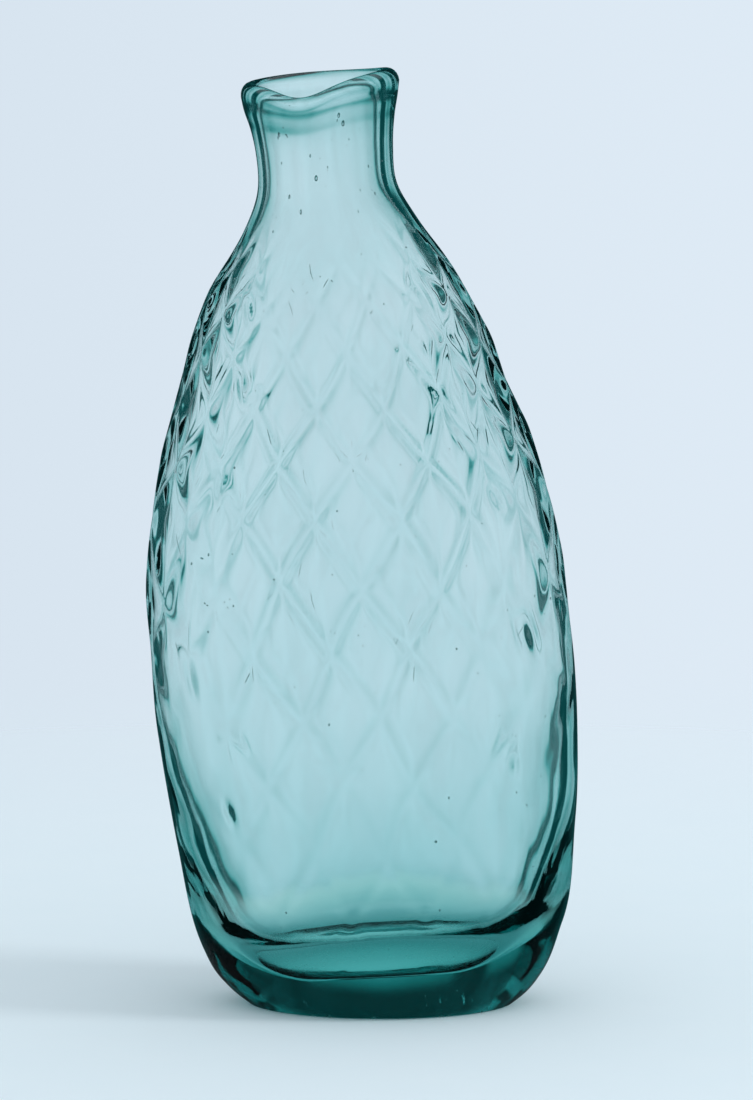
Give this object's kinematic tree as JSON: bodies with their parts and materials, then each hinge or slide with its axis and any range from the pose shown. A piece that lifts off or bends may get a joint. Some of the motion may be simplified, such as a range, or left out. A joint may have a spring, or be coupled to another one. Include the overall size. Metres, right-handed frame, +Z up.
{
  "type": "glass flask",
  "caption": "Hand-blown flattened glass flask with a pattern-moulded diamond lattice, a short flared neck with a melted rim, a heavy heel and a hollowed foot; holds liquid and takes a cork",
  "frame": {"origin": "on the table under the middle of the flask's bounding box, at the level of the flat of the foot", "axes": "X across the wide face, Y from front to back through the thin of the flask, Z up; the flask leans a little towards -X as in the picture"},
  "size_m": [0.0822, 0.0548, 0.1793],
  "materials": {
    "aqua_glass": "clear aqua glass, fire-polished, with seeds and a worn foot"
  },
  "bodies": {
    "root": {"inner_post": "aqua_glass", "diamond_half_post": "aqua_glass", "pontil_scar": "aqua_glass"}
  },
  "joints": []
}
